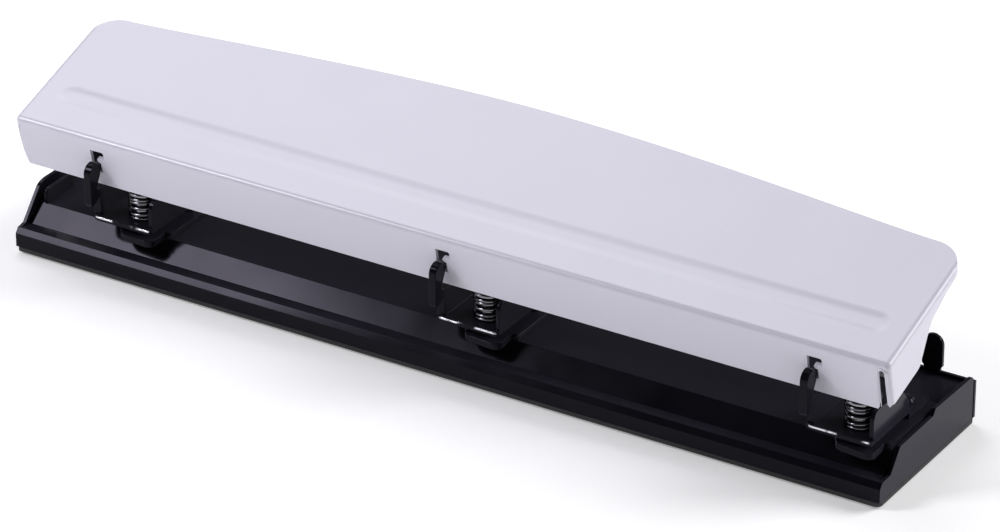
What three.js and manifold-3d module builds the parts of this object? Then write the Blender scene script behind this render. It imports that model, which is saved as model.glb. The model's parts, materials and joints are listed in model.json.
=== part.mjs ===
// Desktop three-hole paper punch: a folded steel base, three punch heads and one lever.
//
// Millimetres, +Z up. X runs along the length, Y runs from the front to the rear.
// The pieces are drawn with Y = 0 at the base's front face, X = 0 at its middle and
// Z = 0 at the surface it stands on. The last lines move the origin to the middle of
// the underside of the whole object's box.

import * as THREE from 'three';
import { mergeVertices } from 'three/addons/utils/BufferGeometryUtils.js';
import Module from 'manifold-3d';

const wasm = await Module();
wasm.setup();

// ---------------------------------------------------------------- driving dimensions

const HOLE_PITCH = 107.95;
const SHEET_EDGE_TO_MIDDLE_HOLE = 139.7;
const SHEET_EDGE_TO_HOLE_LINE = 12.7;
const PUNCH_X = 12.3;
const PUNCH_Y = 10.6;
const HEAD_CENTRES = [PUNCH_X - HOLE_PITCH, PUNCH_X, PUNCH_X + HOLE_PITCH];

const BASE_HALF_LENGTH = 131.3;
const BASE_DEPTH = 51.4;
const SHEET = 1;
const CLEARANCE = 0.05;

const FOOT_HEIGHT = 0.8;
const FLOOR_PLATE_TOP = 2;
const PAN_BOTTOM = FLOOR_PLATE_TOP + CLEARANCE;
const LIP_TOP = 7.4;
const PLATFORM_FRONT = 9.8;
const PLATFORM_TOP = 11.7;
const REAR_WALL_TOP = 12.6;
const EAR_X = 119.05;
const EAR_TOP = 22.8;

const DIE_BOTTOM = PLATFORM_TOP + CLEARANCE;
const DIE_TOP = 13.6;
const JAW_BOTTOM = 15.3;
const JAW_TOP = 16.5;
const JAW_FRONT = 2.9;
const HEAD_WALL_TOP = 24.3;
const HEAD_WALL_FRONT = 4.2;
const PAPER_STOP = PUNCH_Y + SHEET_EDGE_TO_HOLE_LINE;
const HEAD_FOOT_REAR = 34;
const HEAD_SHEET = 1.2;

const POST_THICKNESS = 2.2;
const POST_LEFT = -12.1;
const RIGHT_WALL_LEFT = 5.4;

const PIN_RADIUS = 3.55;
const PIN_NECK_RADIUS = 2.8;
const PIN_HOLE_RADIUS = 3.65;
const PIN_TIP = 15.4;
const PIN_SHOULDER = 23.7;
const PIN_DOME_RADIUS = 3.5;
const PIN_GAP = 0.25;
const ROUND_STEPS = 24;

const PIVOT_Y = 5.2;
const PIVOT_Z = 29;
const LEVER_TILT = THREE.MathUtils.degToRad(18);
const LEVER_HALF_WIDTH = 131.6;
const LEVER_X = -0.4;
const PLATE_TOP = 10.69;
const FOLD_Y = 0.74;
const FLANGE_LENGTH = 14.7;
const FLANGE_LEAN = THREE.MathUtils.degToRad(5.5);
const FOLD_RADIUS = 1.8;
const SIDE_WALL_DEPTH = 12.8;
const REAR_DEPTH_AT_ENDS = 43.95;
const REAR_DEPTH_AT_MIDDLE = 51.7;
const REAR_CORNER_RADIUS = 9;
const SLIT_TOP = 2.1;
const SLIT_FOOT = -6;
const RIGHT_SLIT = { middle: LEVER_HALF_WIDTH - 2.05, halfAtTop: 0.45, halfAtFoot: 0.9 };
const LEFT_SLIT = { middle: 1.25 - LEVER_HALF_WIDTH, halfAtTop: 0.15, halfAtFoot: 0.2 };
const LEFT_WALL_SET_BACK = 1.6;
const BEAD_MIDDLE = 12.9;
const BEAD_HALF_LENGTH = 125;
const BEAD_RADIUS = 3.4;
const BEAD_DEPTH = 0.4;
const BAR_BOTTOM = 3.6;
const BAR_MIDDLE = 5.6;

const RIVET_RADIUS = 1.4;
const RIVET_HOLE_RADIUS = 1.6;
const RIVET_HEAD_RADIUS = 2.5;
const RIVET_Y = 29.4;
const RIVET_OFFSETS = [-7.4, 2.2];

const DOOR_HALF_LENGTH = 110;
const DOOR_FRONT = 9;
const HINGE_Y = 43;
const HINGE_Z = 2.1;
const HINGE_BARREL_RADIUS = 1.25;
const HINGE_PIN_RADIUS = 0.6;
const HINGE_BORE_RADIUS = 0.68;

// ------------------------------------------------------------------------ materials

const paint = (color, roughness, metalness) =>
  new THREE.MeshStandardMaterial({ color, roughness, metalness });

const materials = {
  silverPaint: paint(0xd9d7e4, 0.4, 0.1),
  blackEnamel: paint(0x0b0b0e, 0.2, 0.3),
  brightSteel: paint(0xc8c8cc, 0.25, 1),
  blackPlastic: paint(0x141316, 0.5, 0),
  rubber: paint(0x1d1d1d, 0.9, 0),
};

// ------------------------------------------------------------------ shapes and solids

// Row axes taken by an outline's own x, its own y and the direction it is extruded in.
const AXES = {
  alongX: [new THREE.Vector3(0, 1, 0), new THREE.Vector3(0, 0, 1), new THREE.Vector3(1, 0, 0)],
  alongY: [new THREE.Vector3(-1, 0, 0), new THREE.Vector3(0, 0, 1), new THREE.Vector3(0, 1, 0)],
  alongZ: [new THREE.Vector3(1, 0, 0), new THREE.Vector3(0, 1, 0), new THREE.Vector3(0, 0, 1)],
};

function toManifold(geometry) {
  const plain = geometry.clone();
  plain.deleteAttribute('normal');
  plain.deleteAttribute('uv');
  const merged = mergeVertices(plain, 1e-4);
  return new wasm.Manifold(new wasm.Mesh({
    numProp: 3,
    vertProperties: new Float32Array(merged.attributes.position.array),
    triVerts: new Uint32Array(merged.index.array),
  }));
}

function toGeometry(manifold) {
  const mesh = manifold.getMesh();
  const geometry = new THREE.BufferGeometry();
  geometry.setAttribute('position', new THREE.BufferAttribute(mesh.vertProperties, 3));
  geometry.setIndex(new THREE.BufferAttribute(mesh.triVerts, 1));
  geometry.computeVertexNormals();
  return geometry;
}

// An outline swept in a straight line from `from` to `to` along one row axis.
function sweep(outline, axes, from, to, curveSegments = 6) {
  const geometry = new THREE.ExtrudeGeometry(outline, {
    depth: to - from,
    bevelEnabled: false,
    curveSegments,
  });
  const frame = new THREE.Matrix4().makeBasis(...axes);
  frame.setPosition(axes[2].clone().multiplyScalar(from));
  geometry.applyMatrix4(frame);
  return toManifold(geometry);
}

function polygon(points) {
  return new THREE.Shape(points.map(([x, y]) => new THREE.Vector2(x, y)));
}

function box(low, high) {
  const outline = polygon([
    [low[0], low[1]],
    [high[0], low[1]],
    [high[0], high[1]],
    [low[0], high[1]],
  ]);
  return sweep(outline, AXES.alongZ, low[2], high[2]);
}

function roundedRectangle(left, front, right, rear, radius) {
  const outline = new THREE.Shape();
  outline.moveTo(left + radius, front);
  outline.lineTo(right - radius, front);
  outline.absarc(right - radius, front + radius, radius, -Math.PI / 2, 0);
  outline.lineTo(right, rear - radius);
  outline.absarc(right - radius, rear - radius, radius, 0, Math.PI / 2);
  outline.lineTo(left + radius, rear);
  outline.absarc(left + radius, rear - radius, radius, Math.PI / 2, Math.PI);
  outline.lineTo(left, front + radius);
  outline.absarc(left + radius, front + radius, radius, Math.PI, 1.5 * Math.PI);
  return outline;
}

// A profile of [radius, height] points turned round a vertical axis at (x, y).
function turned(profile, x, y, steps = ROUND_STEPS) {
  const geometry = new THREE.LatheGeometry(
    profile.map(([radius, height]) => new THREE.Vector2(radius, height)),
    steps,
  );
  geometry.rotateX(Math.PI / 2);
  geometry.translate(x, y, 0);
  return toManifold(geometry);
}

function rod(x, y, radius, bottom, top, steps = ROUND_STEPS) {
  return turned([[0, bottom], [radius, bottom], [radius, top], [0, top]], x, y, steps);
}

function part(name, manifold, material) {
  const mesh = new THREE.Mesh(toGeometry(manifold), material);
  mesh.name = name;
  return mesh;
}

// ----------------------------------------------------------------------------- base

// The middle of the pan: front skirt, chamfer, lip, ramp, platform and rear wall.
function panSection() {
  const rear = BASE_DEPTH;
  return polygon([
    [0, PAN_BOTTOM],
    [SHEET, PAN_BOTTOM],
    [SHEET, 5.5],
    [1.55, LIP_TOP - SHEET],
    [4.9, LIP_TOP - SHEET - 0.2],
    [PLATFORM_FRONT + 0.4, PLATFORM_TOP - SHEET],
    [rear - SHEET, PLATFORM_TOP - SHEET],
    [rear - SHEET, PAN_BOTTOM],
    [rear, PAN_BOTTOM],
    [rear, REAR_WALL_TOP],
    [rear - SHEET, REAR_WALL_TOP],
    [rear - SHEET, PLATFORM_TOP],
    [PLATFORM_FRONT, PLATFORM_TOP],
    [5, LIP_TOP - 0.3],
    [1.15, LIP_TOP],
    [0, 5.9],
  ]);
}

function rightEndOutline() {
  const outline = new THREE.Shape();
  outline.moveTo(0, PAN_BOTTOM);
  outline.lineTo(BASE_DEPTH - 1.6, PAN_BOTTOM);
  outline.lineTo(BASE_DEPTH - 1.6, 13.4);
  outline.quadraticCurveTo(BASE_DEPTH - 1.8, 14.5, BASE_DEPTH - 3, 14.6);
  outline.lineTo(28.9, 15.1);
  outline.lineTo(27.7, 13.5);
  outline.lineTo(10.8, 13.4);
  outline.quadraticCurveTo(10, 13.4, 9.6, 12.7);
  outline.lineTo(5.4, 7.5);
  outline.lineTo(1.15, LIP_TOP);
  outline.lineTo(0, 5.9);
  return outline;
}

// The left end stands taller than the right one.
function leftEndOutline() {
  const outline = new THREE.Shape();
  outline.moveTo(0, PAN_BOTTOM);
  outline.lineTo(BASE_DEPTH - 1.6, PAN_BOTTOM);
  outline.lineTo(BASE_DEPTH - 1.6, 15);
  outline.quadraticCurveTo(BASE_DEPTH - 1.8, 16.4, BASE_DEPTH - 3.4, 16.5);
  outline.lineTo(14.4, 17);
  outline.quadraticCurveTo(11.3, 17, 10.1, 15.7);
  outline.lineTo(3.4, 7.8);
  outline.lineTo(1.15, LIP_TOP);
  outline.lineTo(0, 5.9);
  return outline;
}

// A round-topped ear that stands on the rear wall.
function earOutline(centre) {
  const halfWidth = 2.9;
  const outline = new THREE.Shape();
  outline.moveTo(-centre - halfWidth + 0.6, REAR_WALL_TOP - 1);
  outline.lineTo(-centre + halfWidth - 0.6, REAR_WALL_TOP - 1);
  outline.lineTo(-centre + halfWidth - 0.6, REAR_WALL_TOP + 0.7);
  outline.lineTo(-centre + halfWidth, REAR_WALL_TOP + 1.4);
  outline.lineTo(-centre + halfWidth, EAR_TOP - halfWidth);
  outline.absarc(-centre, EAR_TOP - halfWidth, halfWidth, 0, Math.PI);
  outline.lineTo(-centre - halfWidth, REAR_WALL_TOP + 1.4);
  outline.lineTo(-centre - halfWidth + 0.6, REAR_WALL_TOP + 0.7);
  return outline;
}

function basePan() {
  const end = BASE_HALF_LENGTH;
  let pan = sweep(panSection(), AXES.alongX, -end + 0.5, end - 0.5);
  pan = pan.add(sweep(rightEndOutline(), AXES.alongX, end - SHEET, end));
  pan = pan.add(sweep(leftEndOutline(), AXES.alongX, -end, -end + SHEET));
  pan = pan.add(box([-end, BASE_DEPTH - SHEET, PAN_BOTTOM], [end, BASE_DEPTH, REAR_WALL_TOP]));
  for (const centre of [-EAR_X, EAR_X]) {
    pan = pan.add(sweep(earOutline(centre), AXES.alongY, BASE_DEPTH - SHEET, BASE_DEPTH));
  }
  for (const side of [-1, 1]) {
    const cornerX = side * (end - SHEET / 2);
    pan = pan.subtract(box(
      [cornerX - SHEET, BASE_DEPTH - 1.6, 8],
      [cornerX + SHEET, BASE_DEPTH - 1.2, 20],
    ));
  }
  for (const centre of HEAD_CENTRES) {
    pan = pan.subtract(rod(centre, PUNCH_Y + 1.2, 5, PLATFORM_TOP - 3, PLATFORM_TOP + 1));
    for (const offset of RIVET_OFFSETS) {
      const hole = rod(centre + offset, RIVET_Y, RIVET_HOLE_RADIUS, 9, 13, 12);
      pan = pan.subtract(hole);
    }
  }
  return part('base_pan', pan, materials.blackEnamel);
}

// Angle that sets the left edge of the sheet.
function paperGuide() {
  const face = PUNCH_X - SHEET_EDGE_TO_MIDDLE_HOLE;
  const outline = new THREE.Shape();
  outline.moveTo(9.4, DIE_BOTTOM);
  outline.lineTo(22, DIE_BOTTOM);
  outline.lineTo(22, 16);
  outline.lineTo(11.4, 16);
  outline.quadraticCurveTo(9.4, 16, 9.4, 14);
  const upright = sweep(outline, AXES.alongX, face - SHEET, face);
  const leaf = box(
    [-BASE_HALF_LENGTH + SHEET + 0.2, 12, DIE_BOTTOM],
    [face, 20, DIE_BOTTOM + SHEET],
  );
  return part('paper_guide', upright.add(leaf), materials.blackEnamel);
}

// Plastic floor that closes the underside of the pan round the chip door.
function floorFrame() {
  const end = BASE_HALF_LENGTH;
  const outer = roundedRectangle(-end, 0, end, BASE_DEPTH, 1.6);
  const inner = roundedRectangle(
    -DOOR_HALF_LENGTH - 0.3,
    DOOR_FRONT - 0.3,
    DOOR_HALF_LENGTH + 0.3,
    HINGE_Y + HINGE_BARREL_RADIUS + 0.3,
    0.8,
  );
  let frame = sweep(outer, AXES.alongZ, FOOT_HEIGHT, FLOOR_PLATE_TOP);
  frame = frame.subtract(sweep(inner, AXES.alongZ, 0, 3));
  const inset = SHEET + 0.4;
  const lipOuter = roundedRectangle(-end + inset, inset, end - inset, BASE_DEPTH - inset, 1);
  const wall = 1.4;
  const lipInner = roundedRectangle(
    -end + inset + wall,
    inset + wall,
    end - inset - wall,
    BASE_DEPTH - inset - wall,
    1,
  );
  let lip = sweep(lipOuter, AXES.alongZ, FLOOR_PLATE_TOP - 0.5, 4.6);
  lip = lip.subtract(sweep(lipInner, AXES.alongZ, 1, 5));
  frame = frame.add(lip);
  for (const side of [-1, 1]) {
    const near = side * (DOOR_HALF_LENGTH + 0.3);
    const far = side * (DOOR_HALF_LENGTH + 6);
    const low = [Math.min(near, far), HINGE_Y - 1.8, FOOT_HEIGHT];
    const high = [Math.max(near, far), HINGE_Y + 1.8, HINGE_Z + 1.5];
    frame = frame.add(box(low, high));
    frame = frame.subtract(hingeRod(HINGE_BORE_RADIUS, low[0] - 1, high[0] + 1));
  }
  return part('floor_frame', frame, materials.blackPlastic);
}

// A round bar along the chip door's hinge line.
function hingeRod(radius, from, to) {
  const outline = new THREE.Shape();
  outline.absarc(HINGE_Y, HINGE_Z, radius, 0, 2 * Math.PI);
  return sweep(outline, AXES.alongX, from, to, 16);
}

// Flap under the chip chamber, with a barrel along its rear edge and a catch in front.
function chipDoor() {
  const end = DOOR_HALF_LENGTH;
  const leaf = roundedRectangle(-end, DOOR_FRONT, end, HINGE_Y, 0.5);
  let door = sweep(leaf, AXES.alongZ, FOOT_HEIGHT + 0.1, FLOOR_PLATE_TOP);
  door = door.add(hingeRod(HINGE_BARREL_RADIUS, -end, end));
  door = door.add(box([-9, DOOR_FRONT + 0.4, FLOOR_PLATE_TOP - 0.5], [9, DOOR_FRONT + 1.6, 5]));
  for (const side of [-1, 1]) {
    const reach = 5.5;
    const from = side < 0 ? -end - 1 : end - reach;
    door = door.subtract(hingeRod(HINGE_BORE_RADIUS, from, from + reach + 1));
  }
  return part('chip_door', door, materials.blackPlastic);
}

// ----------------------------------------------------------------------- punch heads

// Fixed steel die: a tongue reaches forward under the jaw.
function diePlate(name, centre) {
  const outline = new THREE.Shape();
  outline.moveTo(centre - 10, HEAD_FOOT_REAR);
  outline.lineTo(centre - 10, 9.4);
  outline.lineTo(centre - 7.6, 8.6);
  outline.quadraticCurveTo(centre - 5.2, 7.6, centre - 4.4, 5.4);
  outline.quadraticCurveTo(centre - 3.6, 3.2, centre - 1.6, 2.9);
  outline.lineTo(centre + 5, 2.3);
  outline.quadraticCurveTo(centre + 7.2, 2.3, centre + 7.3, 4.6);
  outline.lineTo(centre + 7, 9.4);
  outline.lineTo(centre + 9, 9.4);
  outline.lineTo(centre + 9, HEAD_FOOT_REAR);
  let plate = sweep(outline, AXES.alongZ, DIE_BOTTOM, DIE_TOP);
  plate = plate.subtract(rod(centre, PUNCH_Y, PIN_HOLE_RADIUS, 10, 15));
  for (const offset of RIVET_OFFSETS) {
    plate = plate.subtract(rod(centre + offset, RIVET_Y, RIVET_HOLE_RADIUS, 10, 15, 12));
  }
  return part(name, plate, materials.blackEnamel);
}

// Left wall of a head: it carries the post that stands in front of the lever's flange,
// the neck that passes through the flange's slot and the barb behind it.
function postWallOutline() {
  const outline = new THREE.Shape();
  outline.moveTo(HEAD_WALL_FRONT, JAW_BOTTOM);
  outline.lineTo(PAPER_STOP, JAW_BOTTOM);
  outline.lineTo(PAPER_STOP, 18.5);
  outline.lineTo(18.4, HEAD_WALL_TOP);
  outline.lineTo(4.6, HEAD_WALL_TOP);
  outline.quadraticCurveTo(3, 24.4, 2.9, 25.6);
  outline.lineTo(3.6, 27);
  outline.lineTo(4.5, 28.8);
  outline.lineTo(4.5, 29.9);
  outline.lineTo(6.7, 29.9);
  outline.lineTo(6.7, 28.7);
  outline.lineTo(8, 29.1);
  outline.lineTo(8, 31.3);
  outline.lineTo(4, 31.3);
  outline.lineTo(3.8, 32);
  outline.quadraticCurveTo(3.4, 32.5, 2.4, 32.4);
  outline.quadraticCurveTo(0, 32, -0.1, 29.6);
  outline.lineTo(-0.1, 21.3);
  outline.quadraticCurveTo(0, 20.4, 0.9, 20.5);
  outline.lineTo(HEAD_WALL_FRONT, 22);
  return outline;
}

function rightWallOutline() {
  const outline = new THREE.Shape();
  outline.moveTo(HEAD_WALL_FRONT, JAW_BOTTOM);
  outline.lineTo(PAPER_STOP, JAW_BOTTOM);
  outline.lineTo(PAPER_STOP, 18.5);
  outline.lineTo(18.4, HEAD_WALL_TOP);
  outline.lineTo(6.4, HEAD_WALL_TOP);
  outline.quadraticCurveTo(HEAD_WALL_FRONT, 24, HEAD_WALL_FRONT, 21);
  return outline;
}

// Folded bracket: jaw plate over the paper, web behind it, and two upright walls.
function headBracket(name, centre) {
  const left = centre + POST_LEFT;
  const right = centre + RIGHT_WALL_LEFT + HEAD_SHEET;
  const jaw = new THREE.Shape();
  jaw.moveTo(left, PAPER_STOP);
  jaw.lineTo(left, HEAD_WALL_FRONT);
  jaw.quadraticCurveTo(left + 0.4, JAW_FRONT, left + 2.6, JAW_FRONT);
  jaw.lineTo(right - 1.2, JAW_FRONT);
  jaw.quadraticCurveTo(right, JAW_FRONT, right, HEAD_WALL_FRONT);
  jaw.lineTo(right, PAPER_STOP);
  let bracket = sweep(jaw, AXES.alongZ, JAW_BOTTOM, JAW_TOP);
  const webRear = PAPER_STOP + HEAD_SHEET;
  const footBottom = DIE_TOP + CLEARANCE;
  bracket = bracket.add(box(
    [left, PAPER_STOP - 0.1, footBottom],
    [right, webRear, JAW_TOP],
  ));
  bracket = bracket.add(box(
    [left, PAPER_STOP, footBottom],
    [right, HEAD_FOOT_REAR, footBottom + HEAD_SHEET],
  ));
  bracket = bracket.add(sweep(postWallOutline(), AXES.alongX, left, left + POST_THICKNESS));
  bracket = bracket.add(sweep(
    rightWallOutline(),
    AXES.alongX,
    centre + RIGHT_WALL_LEFT,
    right,
  ));
  bracket = bracket.subtract(rod(centre, PUNCH_Y, PIN_HOLE_RADIUS, 14, 18));
  for (const offset of RIVET_OFFSETS) {
    bracket = bracket.subtract(rod(centre + offset, RIVET_Y, RIVET_HOLE_RADIUS, 13, 16, 12));
  }
  return part(name, bracket, materials.blackEnamel);
}

// Rivet through the bracket's foot, the die and the platform.
function rivet(name, x) {
  const seat = DIE_TOP + CLEARANCE + HEAD_SHEET + CLEARANCE;
  const under = PLATFORM_TOP - SHEET - CLEARANCE;
  const profile = [
    [0, under - 0.8],
    [RIVET_HEAD_RADIUS - 0.5, under - 0.8],
    [RIVET_HEAD_RADIUS - 0.3, under],
    [RIVET_RADIUS, under],
    [RIVET_RADIUS, seat],
    [RIVET_HEAD_RADIUS, seat],
    [RIVET_HEAD_RADIUS * 0.75, seat + 0.8],
    [0, seat + 1.1],
  ];
  return part(name, turned(profile, x, RIVET_Y, 12), materials.blackEnamel);
}

// Top of the domed pin, just below the bar that presses it.
function pinTop() {
  const arm = PUNCH_Y - PIVOT_Y;
  const centre = arm * Math.tan(LEVER_TILT) + (BAR_BOTTOM - PIN_DOME_RADIUS) / Math.cos(LEVER_TILT);
  return PIVOT_Z + centre + PIN_DOME_RADIUS - PIN_GAP;
}

// Hardened pin with a hollow-ground tip, a shoulder for its washer and a domed top.
function punchPin(name, centre) {
  const top = pinTop();
  const domeCentre = top - PIN_DOME_RADIUS;
  const edge = Math.asin(PIN_NECK_RADIUS / PIN_DOME_RADIUS);
  const profile = [
    [0, PIN_TIP + 0.6],
    [PIN_RADIUS, PIN_TIP],
    [PIN_RADIUS, PIN_SHOULDER],
    [PIN_NECK_RADIUS, PIN_SHOULDER],
  ];
  const steps = 4;
  for (let step = 0; step < steps; step += 1) {
    const angle = edge * (1 - step / steps);
    profile.push([
      PIN_DOME_RADIUS * Math.sin(angle),
      domeCentre + PIN_DOME_RADIUS * Math.cos(angle),
    ]);
  }
  profile.push([0, top]);
  return part(name, turned(profile, centre, PUNCH_Y), materials.brightSteel);
}

function ring(name, centre, inner, outer, bottom, top, material) {
  const profile = [[inner, bottom], [outer, bottom], [outer, top], [inner, top], [inner, bottom]];
  return part(name, turned(profile, centre, PUNCH_Y), material);
}

// ---------------------------------------------------------------------------- lever

// The lever is drawn with its plate level and its pivot line at the origin.

function leverSection() {
  const lean = Math.tan(FLANGE_LEAN);
  const footY = FOLD_Y - FLANGE_LENGTH * lean;
  const footZ = PLATE_TOP - FLANGE_LENGTH;
  const reach = FOLD_Y + REAR_DEPTH_AT_MIDDLE + 5;
  const inner = PLATE_TOP - SHEET;
  const outline = new THREE.Shape();
  outline.moveTo(footY, footZ);
  outline.lineTo(footY + SHEET, footZ);
  outline.lineTo(FOLD_Y + SHEET - 1.6 * lean, inner - 0.6);
  outline.quadraticCurveTo(FOLD_Y + SHEET, inner, FOLD_Y + SHEET + 0.6, inner);
  outline.lineTo(reach, inner);
  outline.lineTo(reach, PLATE_TOP);
  outline.lineTo(FOLD_Y + FOLD_RADIUS, PLATE_TOP);
  outline.quadraticCurveTo(FOLD_Y, PLATE_TOP, FOLD_Y - FOLD_RADIUS * lean, PLATE_TOP - FOLD_RADIUS);
  return outline;
}

// Plan of the lever: straight ends, rounded rear corners and an arched rear edge.
function leverPlan() {
  const half = LEVER_HALF_WIDTH;
  const radius = REAR_CORNER_RADIUS;
  const rearEnds = FOLD_Y + REAR_DEPTH_AT_ENDS;
  const rearMiddle = FOLD_Y + REAR_DEPTH_AT_MIDDLE;
  const outline = new THREE.Shape();
  outline.moveTo(-half, -5);
  outline.lineTo(half, -5);
  outline.lineTo(half, rearEnds - radius);
  outline.absarc(half - radius, rearEnds - radius, radius, 0, Math.PI / 2);
  outline.bezierCurveTo(105, rearEnds + 0.65, 48, rearMiddle, 0, rearMiddle);
  outline.bezierCurveTo(-48, rearMiddle, -105, rearEnds + 0.65, -half + radius, rearEnds);
  outline.absarc(-half + radius, rearEnds - radius, radius, Math.PI / 2, Math.PI);
  return outline;
}

function leverSideOutline() {
  const lean = Math.tan(FLANGE_LEAN);
  const bottom = PLATE_TOP - SIDE_WALL_DEPTH;
  const outline = new THREE.Shape();
  outline.moveTo(FOLD_Y + 1, PLATE_TOP - 0.3);
  outline.lineTo(FOLD_Y - 0.6 * lean, PLATE_TOP - 1.8);
  outline.lineTo(FOLD_Y - (SIDE_WALL_DEPTH - 1) * lean, bottom + 1);
  outline.quadraticCurveTo(FOLD_Y - SIDE_WALL_DEPTH * lean, bottom, FOLD_Y, bottom);
  outline.lineTo(FOLD_Y + 12.2, bottom);
  outline.quadraticCurveTo(FOLD_Y + 13.6, bottom, FOLD_Y + 14.6, bottom + 1.2);
  outline.lineTo(FOLD_Y + 19.8, PLATE_TOP - 6.4);
  outline.quadraticCurveTo(FOLD_Y + 21.6, PLATE_TOP - 4.4, FOLD_Y + 24.5, PLATE_TOP - 4);
  outline.lineTo(FOLD_Y + 29.5, PLATE_TOP - 2.8);
  outline.lineTo(FOLD_Y + 37, PLATE_TOP - 2.4);
  outline.quadraticCurveTo(FOLD_Y + 39.2, PLATE_TOP - 2.3, FOLD_Y + 39.6, PLATE_TOP - 1.2);
  outline.lineTo(FOLD_Y + 39.6, PLATE_TOP - 0.3);
  return outline;
}

// Keyhole slot for one head's neck: open above, pinched by a nib, open round the neck.
function keyholeOutline(centre) {
  const left = centre - LEVER_X + POST_LEFT - 0.2;
  const right = left + 4.2;
  const neckSide = left + 2.9;
  const nibTip = left + 2.5;
  const outline = new THREE.Shape();
  outline.moveTo(-left, 0.1);
  outline.lineTo(-left, 6.85);
  outline.lineTo(-right + 0.8, 6.85);
  outline.quadraticCurveTo(-right, 6.75, -right, 5.85);
  outline.lineTo(-right, 4.7);
  outline.lineTo(-nibTip, 4.55);
  outline.quadraticCurveTo(-nibTip + 0.7, 3.85, -nibTip, 3.15);
  outline.lineTo(-neckSide, 3.1);
  outline.lineTo(-neckSide, 0.1);
  return outline;
}

function stadium(halfLength, middle, radius) {
  return roundedRectangle(
    -halfLength,
    middle - radius,
    halfLength,
    middle + radius,
    radius - 0.01,
  );
}

// A narrow slit in the front wall beside each end, cut up from its foot (mirrored for the sweep).
function slitOutline({ middle, halfAtTop, halfAtFoot }) {
  return polygon([
    [-middle - halfAtTop, PLATE_TOP - SLIT_TOP],
    [-middle + halfAtTop, PLATE_TOP - SLIT_TOP],
    [-middle + halfAtFoot, SLIT_FOOT],
    [-middle - halfAtFoot, SLIT_FOOT],
  ]);
}

// The wedge cut off the front edge of the left side wall, which leans back towards its foot.
function leftWallSetBack() {
  const lean = Math.tan(FLANGE_LEAN);
  const foot = SIDE_WALL_DEPTH + 1;
  return polygon([
    [FOLD_Y - foot * lean - 2, PLATE_TOP - SLIT_TOP],
    [FOLD_Y - SLIT_TOP * lean, PLATE_TOP - SLIT_TOP],
    [FOLD_Y - foot * lean + LEFT_WALL_SET_BACK, PLATE_TOP - foot],
    [FOLD_Y - foot * lean + LEFT_WALL_SET_BACK, SLIT_FOOT],
    [FOLD_Y - foot * lean - 2, SLIT_FOOT],
  ]);
}

function leverCover() {
  const half = LEVER_HALF_WIDTH;
  let cover = sweep(leverSection(), AXES.alongX, -half, half);
  cover = cover.intersect(sweep(leverPlan(), AXES.alongZ, -10, 20, 12));
  for (const [from, to] of [[-half, -half + SHEET], [half - SHEET, half]]) {
    cover = cover.add(sweep(leverSideOutline(), AXES.alongX, from, to));
  }
  const track = stadium(BEAD_HALF_LENGTH, FOLD_Y + BEAD_MIDDLE, BEAD_RADIUS);
  const bead = sweep(track, AXES.alongZ, PLATE_TOP - BEAD_DEPTH, PLATE_TOP + 5, 20);
  cover = cover.subtract(bead);
  for (const centre of HEAD_CENTRES) {
    cover = cover.subtract(sweep(keyholeOutline(centre), AXES.alongY, -4, 3, 4));
  }
  for (const slit of [LEFT_SLIT, RIGHT_SLIT]) {
    const outline = slitOutline(slit);
    cover = cover.subtract(sweep(outline, AXES.alongY, -4, FOLD_Y + SHEET + 0.4));
  }
  cover = cover.subtract(sweep(leftWallSetBack(), AXES.alongX, -half - 1, LEFT_SLIT.middle));
  return part('lever_cover', cover, materials.silverPaint);
}

// Channel under the plate that presses the three pins.
function pressBar() {
  const top = PLATE_TOP - SHEET - CLEARANCE;
  const front = BAR_MIDDLE - 2.7;
  const rear = BAR_MIDDLE + 2.7;
  const outline = polygon([
    [front, BAR_BOTTOM],
    [rear, BAR_BOTTOM],
    [rear, top - SHEET],
    [rear + 4, top - SHEET],
    [rear + 4, top],
    [rear - SHEET, top],
    [rear - SHEET, BAR_BOTTOM + SHEET],
    [front + SHEET, BAR_BOTTOM + SHEET],
    [front + SHEET, top],
    [front, top],
  ]);
  return part('press_bar', sweep(outline, AXES.alongX, -122, 128.5), materials.brightSteel);
}

// -------------------------------------------------------------------------- assembly

const punch = new THREE.Group();

punch.add(basePan(), paperGuide(), floorFrame(), chipDoor());

for (const [index, x] of [-DOOR_HALF_LENGTH, DOOR_HALF_LENGTH].entries()) {
  const name = `door_hinge_pin_${['left', 'right'][index]}`;
  punch.add(part(name, hingeRod(HINGE_PIN_RADIUS, x - 4.5, x + 4.5), materials.brightSteel));
}

for (const [index, centre] of HEAD_CENTRES.entries()) {
  const label = ['left', 'middle', 'right'][index];
  punch.add(diePlate(`${label}_die_plate`, centre));
  punch.add(headBracket(`${label}_head_bracket`, centre));
  for (const [count, offset] of RIVET_OFFSETS.entries()) {
    punch.add(rivet(`${label}_head_rivet_${count + 1}`, centre + offset));
  }
  punch.add(punchPin(`${label}_punch_pin`, centre));
  punch.add(ring(
    `${label}_return_spring`,
    centre,
    PIN_RADIUS + 0.2,
    4.6,
    JAW_TOP + CLEARANCE,
    PIN_SHOULDER,
    materials.brightSteel,
  ));
  punch.add(ring(
    `${label}_spring_washer`,
    centre,
    PIN_NECK_RADIUS + 0.05,
    4.9,
    PIN_SHOULDER + CLEARANCE,
    PIN_SHOULDER + 0.75,
    materials.brightSteel,
  ));
  punch.add(ring(
    `${label}_retaining_ring`,
    centre,
    PIN_NECK_RADIUS + 0.05,
    3.4,
    PIN_SHOULDER + 0.8,
    PIN_SHOULDER + 1.4,
    materials.brightSteel,
  ));
}

for (const [row, y] of [6, 45.4].entries()) {
  for (const [column, x] of [-121, 121].entries()) {
    const name = `${['front', 'rear'][row]}_${['left', 'right'][column]}_foot`;
    const pad = roundedRectangle(x - 6, y - 3, x + 6, y + 3, 2.9);
    punch.add(part(name, sweep(pad, AXES.alongZ, 0, FOOT_HEIGHT - CLEARANCE), materials.rubber));
  }
}

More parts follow.
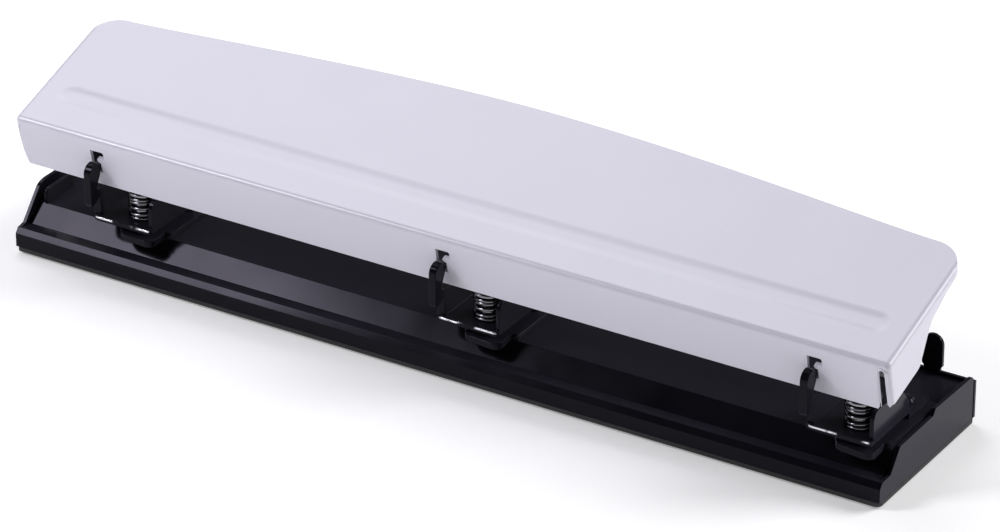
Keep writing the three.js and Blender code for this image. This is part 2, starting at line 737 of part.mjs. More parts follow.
const lever = new THREE.Group();
lever.add(leverCover(), pressBar());
lever.rotation.x = LEVER_TILT;
lever.position.set(LEVER_X, PIVOT_Y, PIVOT_Z);
punch.add(lever);

punch.updateMatrixWorld(true);
const bounds = new THREE.Box3().setFromObject(punch, true);
punch.position.set(
  -(bounds.min.x + bounds.max.x) / 2,
  -(bounds.min.y + bounds.max.y) / 2,
  -bounds.min.z,
);

export default punch;
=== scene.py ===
import json
import math

import bmesh
import bpy
from mathutils import Matrix, Vector
from mathutils.geometry import tessellate_polygon


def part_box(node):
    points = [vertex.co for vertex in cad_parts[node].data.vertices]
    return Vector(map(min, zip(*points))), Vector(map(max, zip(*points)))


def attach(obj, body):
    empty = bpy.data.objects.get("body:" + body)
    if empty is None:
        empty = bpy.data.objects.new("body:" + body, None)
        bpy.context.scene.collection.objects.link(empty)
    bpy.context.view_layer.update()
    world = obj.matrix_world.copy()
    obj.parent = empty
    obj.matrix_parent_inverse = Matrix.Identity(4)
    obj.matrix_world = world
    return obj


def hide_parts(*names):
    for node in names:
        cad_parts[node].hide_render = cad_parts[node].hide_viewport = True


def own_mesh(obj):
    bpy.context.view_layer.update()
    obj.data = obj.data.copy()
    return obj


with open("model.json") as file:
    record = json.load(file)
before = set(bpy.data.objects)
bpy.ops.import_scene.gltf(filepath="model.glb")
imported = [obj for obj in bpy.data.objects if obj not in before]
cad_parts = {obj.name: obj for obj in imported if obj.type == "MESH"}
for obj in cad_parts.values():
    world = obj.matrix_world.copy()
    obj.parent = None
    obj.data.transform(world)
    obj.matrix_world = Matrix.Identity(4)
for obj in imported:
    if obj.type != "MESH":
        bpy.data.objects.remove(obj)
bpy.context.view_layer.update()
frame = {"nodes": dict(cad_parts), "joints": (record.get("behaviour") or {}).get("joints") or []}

# Lengths below are in millimetres and are turned to metres by MM.
MM = 0.001
HEADS = ("left", "middle", "right")
JOINTS = {joint["name"]: joint for joint in frame["joints"]}
PIVOT = Vector(JOINTS["lever_press"]["pos_m"])
COVER_LOW, COVER_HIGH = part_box("lever_cover")
BASE_LOW, BASE_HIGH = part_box("base_pan")

# Lever cover, drawn with its plate level and its pivot line at the origin.
LEVER_TILT = math.radians(18)
HALF_WIDTH = (COVER_HIGH.x - COVER_LOW.x) / 2 / MM
COVER_X = (COVER_HIGH.x + COVER_LOW.x) / 2
SHEET = 1.0
PLATE_TOP = 10.69
FOLD_Y = 0.74
FLANGE_LENGTH = 14.7
FLANGE_LEAN = math.tan(math.radians(5.5))
FOLD_RADIUS = 1.5
SIDE_DEPTH = 12.8
REAR_AT_ENDS = FOLD_Y + 43.95
REAR_AT_MIDDLE = FOLD_Y + 51.7
REAR_CORNER = 9.0
BEAD_MIDDLE = FOLD_Y + 12.9
BEAD_HALF_LENGTH = 125.0
BEAD_RADIUS = 3.4
BEAD_DEPTH = 0.31
BELOW_COVER = -6
AHEAD_OF_COVER = -6
# Each corner slit: the middle in x, half its width at the top and half its width at the foot.
RIGHT_SLIT = (HALF_WIDTH - 2.3, 0.75, 1.0)
LEFT_SLIT = (1.25 - HALF_WIDTH, 0.15, 0.2)
SLIT_TOP = 2.1
LEFT_WALL_SET_BACK = 1.6

# Keyholes in the front wall, measured from the left side of the slot.
KEYHOLE_WIDTH = 4.2
KEYHOLE_TOP = 6.85
KEYHOLE_FOOT = 0.1
NECK_SIDE = 2.9

# Punch heads: the left side of the post from the pin, and the jaw's front edge from the base front.
POST_LEFT = -12.1
JAW_FRONT = 2.9
JAW_TOP = 16.5

# Springs and pins. The pitches run from the lower end of a spring to the upper one.
SPRING_RADIUS = 4.16
WIRE_RADIUS = 0.42
SPRING_PITCHES = (0.88, 1.85, 1.84, 0.87, 0.87)
PIN_RADIUS = 3.55
PIN_NECK_RADIUS = 2.8
PIN_DOME_RADIUS = 3.5
ROUND_STEPS = 72


# ------------------------------------------------------------------------- mesh helpers

def new_piece(name, mesh, material):
    piece = bpy.data.objects.new(name, mesh)
    bpy.context.scene.collection.objects.link(piece)
    piece.data.materials.clear()
    piece.data.materials.append(material)
    return piece


def mesh_from(bm, name):
    mesh = bpy.data.meshes.new(name)
    bm.to_mesh(mesh)
    bm.free()
    return mesh


def smooth(piece, angle=32):
    """Smooth shading that keeps flat faces flat and edges above the angle sharp."""
    piece.data.shade_smooth()
    piece.data.set_sharp_from_angle(angle=math.radians(angle))
    weighted = piece.modifiers.new("weighted", "WEIGHTED_NORMAL")
    weighted.keep_sharp = True
    weighted.weight = 80


def arc(centre, radius, start, end, steps):
    """Points of an arc, angles in degrees."""
    points = []
    for step in range(steps + 1):
        angle = math.radians(start + (end - start) * step / steps)
        points.append((centre[0] + radius * math.cos(angle), centre[1] + radius * math.sin(angle)))
    return points


def bezier(start, first, second, end, steps):
    """Points of a cubic curve between two ends, pulled by two control points."""
    points = []
    for step in range(steps + 1):
        t = step / steps
        s = 1 - t
        weights = (s ** 3, 3 * s * s * t, 3 * s * t * t, t ** 3)
        corners = (start, first, second, end)
        points.append(tuple(sum(w * c[i] for w, c in zip(weights, corners)) for i in (0, 1)))
    return points


def prism(points, axis, low, high):
    """A closed prism: the outline lies across the axis and runs from low to high along it.

    The outline's two numbers are (y, z) along X, (x, z) along Y and (x, y) along Z."""
    def place(point, depth):
        a, b = point
        if axis == "x":
            corner = (depth, a, b)
        elif axis == "y":
            corner = (a, depth, b)
        else:
            corner = (a, b, depth)
        return Vector(corner) * MM

    bm = bmesh.new()
    ends = [[bm.verts.new(place(point, depth)) for point in points] for depth in (low, high)]
    flat = [Vector((a, b, 0)) for a, b in points]
    for triangle in tessellate_polygon([flat]):
        for end in ends:
            bm.faces.new([end[i] for i in triangle])
    for i in range(len(points)):
        j = (i + 1) % len(points)
        bm.faces.new([ends[0][i], ends[0][j], ends[1][j], ends[1][i]])
    bmesh.ops.recalc_face_normals(bm, faces=bm.faces[:])
    return bm


def combine(piece, tools, operation="DIFFERENCE"):
    """Cuts or joins the piece with closed meshes, by exact booleans."""
    for bm in tools:
        tool = bpy.data.objects.new("tool", mesh_from(bm, "tool"))
        bpy.context.scene.collection.objects.link(tool)
        modifier = piece.modifiers.new("cut", "BOOLEAN")
        modifier.solver = "EXACT"
        modifier.operation = operation
        modifier.object = tool
        bpy.context.view_layer.update()
        result = bpy.data.meshes.new_from_object(
            piece.evaluated_get(bpy.context.evaluated_depsgraph_get())
        )
        piece.modifiers.clear()
        old = piece.data
        piece.data = result
        bpy.data.meshes.remove(old)
        bpy.data.objects.remove(tool)


def tidy(bm, weld=2e-5, angle=1.0):
    """Welds doubled points and joins the triangles of flat faces."""
    bmesh.ops.remove_doubles(bm, verts=bm.verts[:], dist=weld)
    bmesh.ops.dissolve_limit(
        bm,
        angle_limit=math.radians(angle),
        verts=bm.verts[:],
        edges=bm.edges[:],
    )


def round_edges(bm, radius, angle=28, segments=3):
    sharp = [
        edge for edge in bm.edges
        if len(edge.link_faces) == 2 and edge.calc_face_angle(0) > math.radians(angle)
    ]
    bmesh.ops.bevel(
        bm,
        geom=sharp,
        offset=radius * MM,
        offset_type="OFFSET",
        segments=segments,
        profile=0.5,
        affect="EDGES",
        clamp_overlap=True,
    )


def refine(node, name, material, body, radius=0.2, segments=3, angle=28):
    """The CAD node's shape with the rounded edges that stamping and moulding leave."""
    bm = bmesh.new()
    bm.from_mesh(frame["nodes"][node].data)
    tidy(bm)
    round_edges(bm, radius, angle, segments)
    piece = new_piece(name, mesh_from(bm, name), material)
    smooth(piece)
    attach(piece, body)
    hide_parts(node)
    return piece


def turned(profile, centre):
    """A closed profile of (radius, height) turned round the vertical line at centre."""
    steps = ROUND_STEPS
    bm = bmesh.new()
    rows = []
    for radius, height in profile:
        if radius == 0:
            rows.append([bm.verts.new((centre.x, centre.y, height * MM))] * steps)
            continue
        row = []
        for step in range(steps):
            turn = 2 * math.pi * step / steps
            x = centre.x + radius * MM * math.cos(turn)
            y = centre.y + radius * MM * math.sin(turn)
            row.append(bm.verts.new((x, y, height * MM)))
        rows.append(row)
    for lower, upper in zip(rows, rows[1:]):
        for i in range(steps):
            j = (i + 1) % steps
            corners = list(dict.fromkeys([lower[i], lower[j], upper[j], upper[i]]))
            if len(corners) > 2:
                bm.faces.new(corners)
    bmesh.ops.remove_doubles(bm, verts=bm.verts[:], dist=1e-7)
    bmesh.ops.recalc_face_normals(bm, faces=bm.faces[:])
    return bm


def tube(path, radius, sides=12):
    """A round wire along a list of points in metres, with flat ends."""
    bm = bmesh.new()
    rings = []
    side = Vector((0, 0, 1))
    for i, point in enumerate(path):
        before = path[max(i - 1, 0)]
        after = path[min(i + 1, len(path) - 1)]
        along = (after - before).normalized()
        across = along.cross(side).normalized()
        up = across.cross(along)
        turns = [2 * math.pi * k / sides for k in range(sides)]
        rings.append([
            bm.verts.new(point + (across * math.cos(t) + up * math.sin(t)) * radius) for t in turns
        ])
    for near, far in zip(rings, rings[1:]):
        for k in range(sides):
            bm.faces.new([near[k], near[(k + 1) % sides], far[(k + 1) % sides], far[k]])
    bm.faces.new(rings[0])
    bm.faces.new(rings[-1])
    bmesh.ops.recalc_face_normals(bm, faces=bm.faces[:])
    return bm


# ---------------------------------------------------------------------------- materials

class Nodes:
    """A small helper that adds shader nodes to one material."""

    def __init__(self, name):
        self.material = bpy.data.materials.new(name)
        self.material.use_nodes = True
        self.tree = self.material.node_tree
        self.shader = self.tree.nodes["Principled BSDF"]
        self.place = self.tree.nodes.new("ShaderNodeTexCoord").outputs["Object"]

    def set(self, **values):
        for key, value in values.items():
            self.shader.inputs[key.replace("_", " ")].default_value = value

    def link(self, output, socket):
        self.tree.links.new(output, socket)

    def stretch(self, scale):
        node = self.tree.nodes.new("ShaderNodeMapping")
        node.inputs["Scale"].default_value = scale
        self.link(self.place, node.inputs["Vector"])
        return node.outputs["Vector"]

    def noise(self, scale, detail=4, roughness=0.55, vector=None):
        node = self.tree.nodes.new("ShaderNodeTexNoise")
        node.inputs["Scale"].default_value = scale
        node.inputs["Detail"].default_value = detail
        node.inputs["Roughness"].default_value = roughness
        self.link(vector or self.place, node.inputs["Vector"])
        return node.outputs["Fac"]

    def cells(self, scale, feature="F1"):
        node = self.tree.nodes.new("ShaderNodeTexVoronoi")
        node.feature = feature
        node.inputs["Scale"].default_value = scale
        self.link(self.place, node.inputs["Vector"])
        return node.outputs["Distance"]

    def spread(self, value, low, high, from_low=0.3, from_high=0.7):
        node = self.tree.nodes.new("ShaderNodeMapRange")
        node.inputs["From Min"].default_value = from_low
        node.inputs["From Max"].default_value = from_high
        node.inputs["To Min"].default_value = low
        node.inputs["To Max"].default_value = high
        self.link(value, node.inputs["Value"])
        return node.outputs["Result"]

    def product(self, first, *others):
        for other in others:
            node = self.tree.nodes.new("ShaderNodeMath")
            node.operation = "MULTIPLY"
            self.link(first, node.inputs[0])
            self.link(other, node.inputs[1])
            first = node.outputs[0]
        return first

    def ramp(self, value, stops):
        node = self.tree.nodes.new("ShaderNodeValToRGB")
        ramp = node.color_ramp
        ramp.elements[0].position, ramp.elements[0].color = stops[0][0], (*stops[0][1], 1)
        ramp.elements[1].position, ramp.elements[1].color = stops[-1][0], (*stops[-1][1], 1)
        for position, colour in stops[1:-1]:
            ramp.elements.new(position).color = (*colour, 1)
        self.link(value, node.inputs["Fac"])
        return node.outputs["Color"]

    def mix(self, amount, first, second):
        """Colour mix; first and second are outputs or plain colours."""
        node = self.tree.nodes.new("ShaderNodeMix")
        node.data_type = "RGBA"
        self.link(amount, node.inputs[0])
        for socket, value in ((node.inputs[6], first), (node.inputs[7], second)):
            if isinstance(value, tuple):
                socket.default_value = (*value, 1)
            else:
                self.link(value, socket)
        return node.outputs[2]

    def bump(self, value, distance, strength=1.0, under=None):
        node = self.tree.nodes.new("ShaderNodeBump")
        node.inputs["Strength"].default_value = strength
        node.inputs["Distance"].default_value = distance
        self.link(value, node.inputs["Height"])
        if under:
            self.link(under, node.inputs["Normal"])
        self.link(node.outputs["Normal"], self.shader.inputs["Normal"])
        return node.outputs["Normal"]


def silver_paint():
    m = Nodes("silver_paint")
    m.set(Metallic=0.0, Coat_Weight=0.3, Coat_Roughness=0.15)
    m.shader.inputs["IOR"].default_value = 1.45
    cloud = m.noise(9, 3)
    base = m.ramp(cloud, [(0.3, (0.655, 0.645, 0.725)), (0.7, (0.68, 0.67, 0.745))])
    fleck = m.spread(m.noise(2600, 1), 0.0, 1.0, 0.62, 0.78)
    m.link(m.mix(m.spread(fleck, 0.0, 0.25, 0, 1), base, (0.78, 0.775, 0.84)),
           m.shader.inputs["Base Color"])
    m.link(m.spread(m.noise(40, 3), 0.3, 0.36), m.shader.inputs["Roughness"])
    peel = m.bump(m.noise(420, 2), 0.00001, 0.5)
    m.bump(m.noise(3200, 2), 0.000004, 0.35, peel)
    return m.material


def painted_lip_glint(m):
    """A patchy band of bright bare metal along the front upper edge of the jaws: a painted
    highlight for the glint on that edge.
    """
    split = m.tree.nodes.new("ShaderNodeSeparateXYZ")
    m.link(m.place, split.inputs["Vector"])
    lip_y = BASE_LOW.y + JAW_FRONT * MM
    lip_z = JAW_TOP * MM
    return m.product(
        m.spread(split.outputs["Y"], 0, 1, lip_y - 0.3 * MM, lip_y - 0.2 * MM),
        m.spread(split.outputs["Y"], 1, 0, lip_y + 0.15 * MM, lip_y + 0.3 * MM),
        m.spread(split.outputs["Z"], 0, 1, lip_z - 0.55 * MM, lip_z - 0.45 * MM),
        m.spread(split.outputs["Z"], 1, 0, lip_z + 0.05 * MM, lip_z + 0.15 * MM),
        m.spread(m.noise(140, 2), 0, 1, 0.48, 0.53),
    )


def black_enamel(name="black_enamel", painted_glint=False):
    """Glossy stoved black; the glint variant paints a bright bare-metal band along its jaw's front
    edge as a highlight.
    """
    m = Nodes(name)
    m.set(Metallic=0.0)
    m.shader.inputs["IOR"].default_value = 1.5
    m.shader.inputs["Specular IOR Level"].default_value = 0.1
    m.shader.inputs["Specular Tint"].default_value = (0.86, 0.83, 1.0, 1)
    m.set(Sheen_Weight=0.26, Sheen_Roughness=0.4)
    m.shader.inputs["Sheen Tint"].default_value = (0.62, 0.58, 0.8, 1)
    base = m.ramp(m.noise(14, 3), [(0.3, (0.0012, 0.0011, 0.002)), (0.7, (0.003, 0.0028, 0.0042))])
    dust = m.spread(m.cells(520), 1.0, 0.0, 0.03, 0.07)
    patch = m.spread(m.noise(60, 2), 0.0, 0.35, 0.5, 0.75)
    colour = m.mix(m.product(dust, patch), base, (0.05, 0.05, 0.055))
    # Painted highlight: a patchy bright metallic band along the jaw lip stands for the glint there.
    if painted_glint:
        glint_band = painted_lip_glint(m)
        colour = m.mix(glint_band, colour, (0.72, 0.71, 0.76))
        m.link(glint_band, m.shader.inputs["Metallic"])
    m.link(colour, m.shader.inputs["Base Color"])
    m.link(m.spread(m.noise(55, 4), 0.1, 0.17), m.shader.inputs["Roughness"])
    m.bump(m.noise(650, 3), 0.00001, 0.35)
    return m.material


def bright_steel():
    m = Nodes("bright_steel")
    m.set(Metallic=1.0)
    rings = m.noise(1, 3, 0.6, m.stretch((160, 160, 5200)))
    m.link(m.ramp(rings, [(0.3, (0.1, 0.1, 0.11)), (0.7, (0.3, 0.3, 0.32))]),
           m.shader.inputs["Base Color"])
    m.link(m.spread(rings, 0.12, 0.24), m.shader.inputs["Roughness"])
    m.bump(rings, 0.000006, 0.4)
    return m.material


def zinc_steel():
    m = Nodes("zinc_steel")
    m.set(Metallic=1.0)
    spangle = m.cells(300)
    m.link(m.ramp(spangle, [(0.1, (0.4, 0.4, 0.41)), (0.8, (0.56, 0.56, 0.57))]),
           m.shader.inputs["Base Color"])
    m.link(m.spread(m.noise(120, 4), 0.36, 0.52), m.shader.inputs["Roughness"])
    m.bump(m.noise(1, 3, 0.6, m.stretch((60, 2400, 2400))), 0.000008, 0.4)
    return m.material


def black_plastic():
    m = Nodes("black_plastic")
    m.shader.inputs["IOR"].default_value = 1.46
    m.link(m.ramp(m.noise(22, 3), [(0.3, (0.009, 0.009, 0.01)), (0.7, (0.015, 0.0145, 0.016))]),
           m.shader.inputs["Base Color"])
    m.link(m.spread(m.noise(180, 3), 0.42, 0.58), m.shader.inputs["Roughness"])
    m.bump(m.noise(3800, 3), 0.000018, 0.6)
    return m.material


def rubber():
    m = Nodes("rubber")
    m.link(m.ramp(m.noise(90, 3), [(0.3, (0.014, 0.014, 0.014)), (0.7, (0.026, 0.026, 0.026))]),
           m.shader.inputs["Base Color"])
    m.link(m.spread(m.noise(400, 3), 0.78, 0.92), m.shader.inputs["Roughness"])
    m.bump(m.cells(1800), 0.00003, 0.5)
    return m.material


def floor_paper():
    m = Nodes("floor_paper")
    m.set(Roughness=0.9)
    m.shader.inputs["Specular IOR Level"].default_value = 0.1
    m.link(m.ramp(m.noise(3, 2), [(0.3, (0.93, 0.93, 0.92)), (0.7, (0.95, 0.95, 0.94))]),
           m.shader.inputs["Base Color"])
    m.set(Emission_Strength=0.26)
    m.shader.inputs["Emission Color"].default_value = (1, 1, 0.98, 1)
    m.bump(m.noise(900, 2), 0.00002, 0.2)
    return m.material


SILVER = silver_paint()
ENAMEL = black_enamel()
# Enamel for the head frames, with the painted highlight along their jaw lip.
GLINT_ENAMEL = black_enamel("black_enamel_painted_glint", painted_glint=True)
STEEL = bright_steel()
ZINC = zinc_steel()
PLASTIC = black_plastic()
RUBBER = rubber()


# ------------------------------------------------------------------------------- camera

def camera():
    """A long lens from the front right and above, at the level that shows both faces."""
    azimuth, elevation, roll = (math.radians(v) for v in (31.64, 27.89, -0.1))
    distance = 1.38886
    focal_ratio = 5.34519
    shift_right = 7.91 * MM
    shift_up = 11.59 * MM
    right = Vector((math.cos(azimuth), math.sin(azimuth), 0))
    forward = Vector((
        -math.sin(azimuth) * math.cos(elevation),
        math.cos(azimuth) * math.cos(elevation),
        -math.sin(elevation),
    ))
    up = right.cross(forward)
    target = Vector(((BASE_LOW.x + BASE_HIGH.x) / 2, 20 * MM + BASE_LOW.y, 10 * MM))
    data = bpy.data.cameras.new("camera")
    data.sensor_width = 36
    data.lens = focal_ratio * data.sensor_width
    data.clip_start = 0.1
    data.clip_end = 20
    view = bpy.data.objects.new("camera", data)
    turn = Matrix((right, up, -forward)).transposed().to_4x4()
    view.matrix_world = (
        Matrix.Translation(target - forward * distance + right * shift_right + up * shift_up)
        @ turn
        @ Matrix.Rotation(roll, 4, "Z")
    )
    bpy.context.scene.collection.objects.link(view)
    bpy.context.scene.camera = view


# ------------------------------------------------------------------------------- studio

def softbox(name, place, size, power, colour=(1, 1, 1), aim=(0, 0, 0.02)):
    data = bpy.data.lights.new(name, "AREA")
    data.shape = "RECTANGLE"
    data.size, data.size_y = size
    data.energy = power
    data.color = colour
    light = bpy.data.objects.new(name, data)
    light.location = place
    light.rotation_euler = (Vector(aim) - Vector(place)).to_track_quat("-Z", "Y").to_euler()
    bpy.context.scene.collection.objects.link(light)


def studio():
    """A pale floor, an even dim surround and three soft boxes."""
    world = bpy.data.worlds.new("studio")
    world.use_nodes = True
    background = world.node_tree.nodes["Background"]
    background.inputs["Color"].default_value = (0.94, 0.94, 1.0, 1)
    background.inputs["Strength"].default_value = 0.11
    bpy.context.scene.world = world
    tint = (0.97, 0.965, 1.0)
    softbox("key_box", (1.12, 0.95, 0.9), (0.9, 0.9), 22.5, tint)
    softbox("top_box", (-0.6, 0.43, 1.07), (0.7, 0.7), 5.0, tint)
    softbox("front_box", (-0.56, -0.5, 0.6), (0.26, 0.3), 4.2, (0.94, 0.92, 1.0))
    half_size = 4.0
    bm = bmesh.new()
    bmesh.ops.create_grid(bm, x_segments=8, y_segments=8, size=half_size)
    floor = bpy.data.objects.new("floor", mesh_from(bm, "floor"))
    floor.data.materials.append(floor_paper())
    bpy.context.scene.collection.objects.link(floor)
    bpy.context.scene.view_settings.view_transform = "Standard"


# -------------------------------------------------------------------------- lever cover

def cover_block(inset, radius, low, rear):
    """The space inside the cover's outer faces, moved inwards by inset, with its folds rounded."""
    lean_step = math.hypot(1, FLANGE_LEAN)
    top = PLATE_TOP - inset
    fold = FOLD_Y + inset * lean_step - inset * FLANGE_LEAN
    half = HALF_WIDTH - inset
    front_low = fold - (top - low) * FLANGE_LEAN
    bm = prism([(front_low, low), (fold, top), (rear, top), (rear, low)], "x", -half, half)
    tidy(bm)

    def is_fold(edge):
        a, b = (v.co / MM for v in edge.verts)
        at_top = abs(a.z - top) < 0.01 and abs(b.z - top) < 0.01
        at_side = abs(abs(a.x) - half) < 0.01 and abs(b.x - a.x) < 0.01
        at_front = a.y < fold + 0.01 and b.y < fold + 0.01
        return (at_top and (at_side or at_front)) or (at_side and at_front)

    bmesh.ops.bevel(
        bm,
        geom=[edge for edge in bm.edges if is_fold(edge)],
        offset=radius * MM,
        offset_type="OFFSET",
        segments=8,
        profile=0.5,
        affect="EDGES",
    )
    return bm


def side_cutter():
    """What lies below the lower edge of a side wall, in (y, z)."""
    bottom = PLATE_TOP - SIDE_DEPTH
    points = [(-6, -30), (-6, bottom)]
    # Four bends of the lower edge, front to rear, as (behind the fold, below the plate).
    foot = SIDE_DEPTH
    bends = (
        ((12, foot), (13.4, foot), (14, foot - 0.5), (14.7, foot - 1.3), 8),
        ((19.6, 6.6), (21.2, 4.7), (22.6, 4.2), (24.8, 3.9), 10),
        ((28.5, 3.1), (31, 2.4), (34, 2.35), (36.5, 2.3), 10),
        ((37.5, 2.2), (38.8, 1.9), (39.4, 1.5), (40.5, 1.1), 6),
    )
    for *corners, steps in bends:
        points += bezier(*((FOLD_Y + back, PLATE_TOP - down) for back, down in corners), steps)
    return points + [(FOLD_Y + 60, PLATE_TOP - 1.1), (FOLD_Y + 60, -30)]


def rear_cutter():
    """What lies behind the arched rear edge and its rounded corners, in (x, y)."""
    half = HALF_WIDTH
    middle = bezier((half - REAR_CORNER, REAR_AT_ENDS), (105, REAR_AT_ENDS + 0.65),
                    (48, REAR_AT_MIDDLE), (0, REAR_AT_MIDDLE), 32)[1:]
    corner = arc((half - REAR_CORNER, REAR_AT_ENDS - REAR_CORNER), REAR_CORNER, 6, 90, 18)
    right = [(half + 9, corner[0][1])] + corner + middle
    left = [(-x, y) for x, y in reversed(right[:-1])]
    return right + left + [(-half - 9, 90), (half + 9, 90)]


def keyhole(centre):
    """One head's slot in (x, z): wide above, pinched by a round nib, open round the neck."""
    left = centre + POST_LEFT - 0.2
    right = left + KEYHOLE_WIDTH
    corner = 0.6
    points = [(left, KEYHOLE_FOOT), (left, KEYHOLE_TOP), (right - 0.7, KEYHOLE_TOP)]
    points += arc((right - corner, KEYHOLE_TOP - corner), corner, 80, 0, 5)
    points += [(right, 4.75), (left + 2.75, 4.6)]
    points += arc((left + 2.5, 3.9), 0.7, 75, 265, 12)
    return points + [(left + NECK_SIDE, 3.1), (left + NECK_SIDE, KEYHOLE_FOOT)]


def bead_dish():
    """A long shallow trough with round ends, sunk from above into the plate."""
    rows = 14
    reach = BEAD_RADIUS + 0.8
    floor_radius = 1.0
    bm = bmesh.new()
    rings = []
    straight = BEAD_HALF_LENGTH - BEAD_RADIUS
    for row in range(rows + 1):
        t = row / rows
        radius = reach * (1 - t) + 0.4 * t
        slope = min(max((reach - radius) / (reach - floor_radius), 0), 1)
        depth = BEAD_DEPTH * (1 - math.cos(math.pi * slope)) / 2
        height = PLATE_TOP + 0.012 - depth
        ring = arc((straight, BEAD_MIDDLE), radius, -90, 90, 20)
        ring += arc((-straight, BEAD_MIDDLE), radius, 90, 270, 20)
        rings.append([bm.verts.new(Vector((x, y, height)) * MM) for x, y in ring])
    lid = [bm.verts.new(v.co + Vector((0, 0, 3 * MM))) for v in rings[0]]
    for upper, lower in zip([lid] + rings, rings):
        count = len(upper)
        for i in range(count):
            j = (i + 1) % count
            bm.faces.new([upper[i], upper[j], lower[j], lower[i]])
    bm.faces.new(lid)
    bm.faces.new(rings[-1])
    bmesh.ops.recalc_face_normals(bm, faces=bm.faces[:])
    return bm


def slit_outline(slit):
    """A corner slit in (x, z): round at its top, wider at its foot."""
    middle, radius, foot = slit
    centre = PLATE_TOP - SLIT_TOP - radius
    points = [(middle - foot, BELOW_COVER), (middle - radius, centre)]
    points += arc((middle, centre), radius, 180, 0, 8)[1:-1]
    return points + [(middle + radius, centre), (middle + foot, BELOW_COVER)]


def slit_relief(slit):
    """The metal thinned away behind one edge of a slit, following the lean of the front wall."""
    middle, radius, foot = slit
    top = PLATE_TOP - SLIT_TOP - 0.4
    outline = [
        (middle - foot - 0.9, BELOW_COVER),
        (middle - radius - 0.8, top),
        (middle + radius - 0.1, top),
        (middle + foot - 0.1, BELOW_COVER),
    ]
    bm = prism(outline, "y", FOLD_Y + 0.3, FOLD_Y + 3)
    for v in bm.verts:
        v.co.y -= (PLATE_TOP * MM - v.co.z) * FLANGE_LEAN
    return bm


def left_wall_set_back():
    """The wedge cut off the front edge of the left side wall, in (y, z)."""
    foot = SIDE_DEPTH + 1
    front = FOLD_Y - foot * FLANGE_LEAN
    return [
        (front - 2, PLATE_TOP - SLIT_TOP),
        (FOLD_Y - SLIT_TOP * FLANGE_LEAN, PLATE_TOP - SLIT_TOP),
        (front + LEFT_WALL_SET_BACK, PLATE_TOP - foot),
        (front + LEFT_WALL_SET_BACK, BELOW_COVER),
        (front - 2, BELOW_COVER),
    ]


def slit_rim(slit):
    """The raised rim that shearing leaves round a corner slit."""
    middle, half_width, _ = slit
    radius = half_width + 0.5
    centre = PLATE_TOP - SLIT_TOP - half_width
    foot = -2.2
    flare = 0.32
    sink = 0.04
    rim_radius = 0.3
    outline = [(middle - radius - flare, foot), (middle - radius, centre)]
    outline += arc((middle, centre), radius, 180, 0, 10)[1:-1]
    outline += [(middle + radius, centre), (middle + radius + flare, foot)]
    path = []
    for x, z in outline:
        y = FOLD_Y - (PLATE_TOP - z) * FLANGE_LEAN + sink
        path.append(Vector((x, y, z)) * MM)
    return tube(path, rim_radius * MM)


def lever_cover():
    """The pressed sheet: a shell cut from two blocks that run on past its rear edge and foot."""
    outer = cover_block(0, FOLD_RADIUS, PLATE_TOP - FLANGE_LENGTH, 60)
    inner = cover_block(SHEET, FOLD_RADIUS - 0.9, -40, 80)
    mesh = mesh_from(outer, "lever_cover_sheet")
    piece = new_piece("lever_cover_sheet", mesh, SILVER)
    cuts = [inner, prism(rear_cutter(), "z", -40, 40), bead_dish()]
    half = HALF_WIDTH
    for low, high in ((RIGHT_SLIT[0], half + 5), (-half - 5, LEFT_SLIT[0])):
        cuts.append(prism(side_cutter(), "x", low, high))
    cuts.append(prism(left_wall_set_back(), "x", -half - 5, LEFT_SLIT[0]))
    foot = PLATE_TOP - FLANGE_LENGTH
    for side, slit in ((-1, LEFT_SLIT), (1, RIGHT_SLIT)):
        cuts.append(prism(slit_outline(slit), "y", AHEAD_OF_COVER, FOLD_Y + SHEET + 0.5))
        edge = slit[0] - side * (slit[2] - 0.05)
        corner = [(edge, foot - 1), (edge, foot + 2.6), (edge - side * 0.9, foot - 0.1)]
        cuts.append(prism(corner, "y", AHEAD_OF_COVER, 3))
    cuts.append(slit_relief(RIGHT_SLIT))
    for head in HEADS:
        low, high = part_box(f"{head}_punch_pin")
        centre = ((low.x + high.x) / 2 - COVER_X) / MM
        cuts.append(prism(keyhole(centre), "y", AHEAD_OF_COVER, 4))
    combine(piece, cuts)
    combine(piece, [slit_rim(RIGHT_SLIT)], "UNION")
    bm = bmesh.new()
    bm.from_mesh(piece.data)
    bmesh.ops.remove_doubles(bm, verts=bm.verts[:], dist=1e-6)
    place = Matrix.Translation((COVER_X, PIVOT.y, PIVOT.z))
    bm.transform(place @ Matrix.Rotation(LEVER_TILT, 4, "X"))
    bm.to_mesh(piece.data)
    bm.free()
    smooth(piece, 30)
    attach(piece, "lever")
    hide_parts("lever_cover")


# --------------------------------------------------------------------- springs and pins

def spring_path(low, high, centre):
    """The centre line of a coil that fills the height, with its end turns closed."""
    steps = 40
    heights = [low / MM + WIRE_RADIUS]
    for pitch in SPRING_PITCHES:
        for _ in range(steps):
            heights.append(heights[-1] + pitch / steps)
    scale = (high / MM - WIRE_RADIUS - heights[0]) / (heights[-1] - heights[0])
    start = math.radians(200)
    path = []
    for i, height in enumerate(heights):
        turn = start + 2 * math.pi * i / steps
        path.append(Vector((
            centre.x + SPRING_RADIUS * MM * math.cos(turn),
            centre.y + SPRING_RADIUS * MM * math.sin(turn),
            (heights[0] + (height - heights[0]) * scale) * MM,
        )))
    return path


def return_spring(head):
    node = f"{head}_return_spring"
    low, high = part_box(node)
    centre = (low + high) / 2
    bm = tube(spring_path(low.z, high.z, centre), WIRE_RADIUS * MM, 14)
    piece = new_piece(f"{head}_coil_spring", mesh_from(bm, node), STEEL)
    smooth(piece)
    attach(piece, "base")
    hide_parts(node)
    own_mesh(piece)


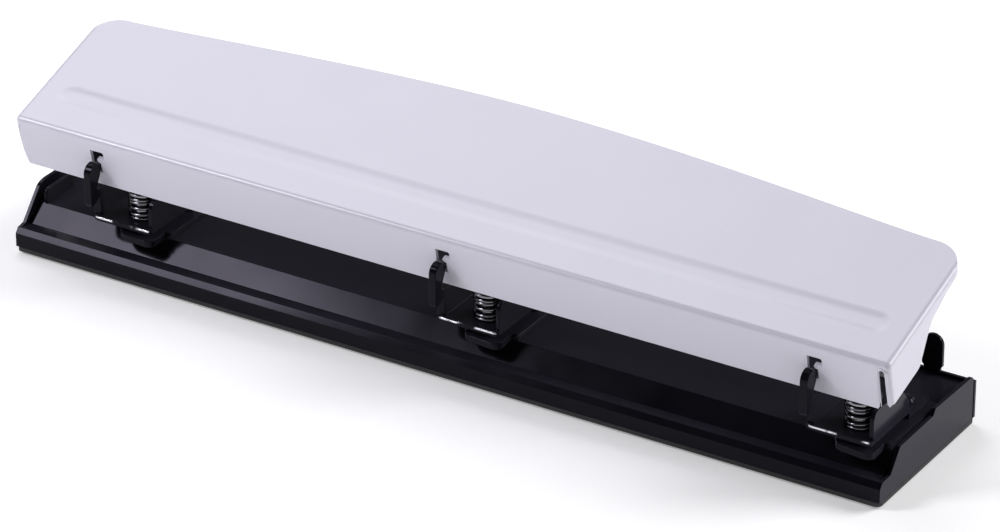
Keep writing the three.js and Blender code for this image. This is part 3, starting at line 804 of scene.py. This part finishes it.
def punch_pin(head):
    node = f"{head}_punch_pin"
    low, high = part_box(node)
    centre = (low + high) / 2
    tip, top = low.z / MM, high.z / MM
    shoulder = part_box(f"{head}_spring_washer")[0].z / MM - 0.05
    dome = top - PIN_DOME_RADIUS
    edge = math.degrees(math.acos(PIN_NECK_RADIUS / PIN_DOME_RADIUS))
    profile = [(0, tip + 0.6), (PIN_RADIUS - 0.05, tip), (PIN_RADIUS, tip + 0.08)]
    profile += [(PIN_RADIUS, shoulder - 0.15), (PIN_RADIUS - 0.15, shoulder)]
    profile += [(PIN_NECK_RADIUS, shoulder)]
    profile += arc((0, dome), PIN_DOME_RADIUS, edge, 90, 14)[:-1] + [(0, top)]
    mesh = mesh_from(turned(profile, centre), node)
    piece = new_piece(f"{head}_domed_pin", mesh, STEEL)
    smooth(piece)
    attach(piece, f"{head}_pin")
    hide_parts(node)


def flat_ring(head, node_end, name, chamfer):
    """A washer or retaining ring with rounded rims."""
    node = f"{head}_{node_end}"
    low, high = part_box(node)
    centre = (low + high) / 2
    outer = (high.x - low.x) / 2 / MM
    inner = PIN_NECK_RADIUS + 0.05
    bottom, top = low.z / MM, high.z / MM
    profile = []
    for corner, start in (
        ((outer - chamfer, bottom + chamfer), -90),
        ((outer - chamfer, top - chamfer), 0),
        ((inner + chamfer, top - chamfer), 90),
        ((inner + chamfer, bottom + chamfer), 180),
    ):
        profile += arc(corner, chamfer, start, start + 90, 4)
    profile.append(profile[0])
    mesh = mesh_from(turned(profile, centre), node)
    piece = new_piece(f"{head}_{name}", mesh, STEEL)
    smooth(piece)
    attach(piece, f"{head}_pin")
    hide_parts(node)


# ----------------------------------------------------------------------------- assembly

camera()
studio()

refine("base_pan", "base_pan_sheet", ENAMEL, "base", 0.32, 4, 20)
refine("paper_guide", "paper_guide_angle", ENAMEL, "base", 0.25)
refine("floor_frame", "floor_frame_moulding", PLASTIC, "base", 0.25)
refine("chip_door", "chip_door_moulding", PLASTIC, "chip_door", 0.25)
refine("press_bar", "press_bar_channel", ZINC, "lever", 0.3)
for side in ("left", "right"):
    refine(f"door_hinge_pin_{side}", f"hinge_pin_{side}_rod", STEEL, "base", 0.12)
    for row in ("front", "rear"):
        refine(f"{row}_{side}_foot", f"{row}_{side}_foot_pad", RUBBER, "base", 0.3)
for head in HEADS:
    refine(f"{head}_die_plate", f"{head}_die_tongue", ENAMEL, "base", 0.25)
    # The head frames carry the painted highlight along their jaw lip.
    refine(f"{head}_head_bracket", f"{head}_head_frame", GLINT_ENAMEL, "base", 0.22, 3, 26)
    for count in (1, 2):
        refine(f"{head}_head_rivet_{count}", f"{head}_rivet_{count}_head", ENAMEL, "base", 0.15)
    return_spring(head)
    punch_pin(head)
    flat_ring(head, "spring_washer", "washer_disc", 0.15)
    flat_ring(head, "retaining_ring", "retainer", 0.1)
lever_cover()
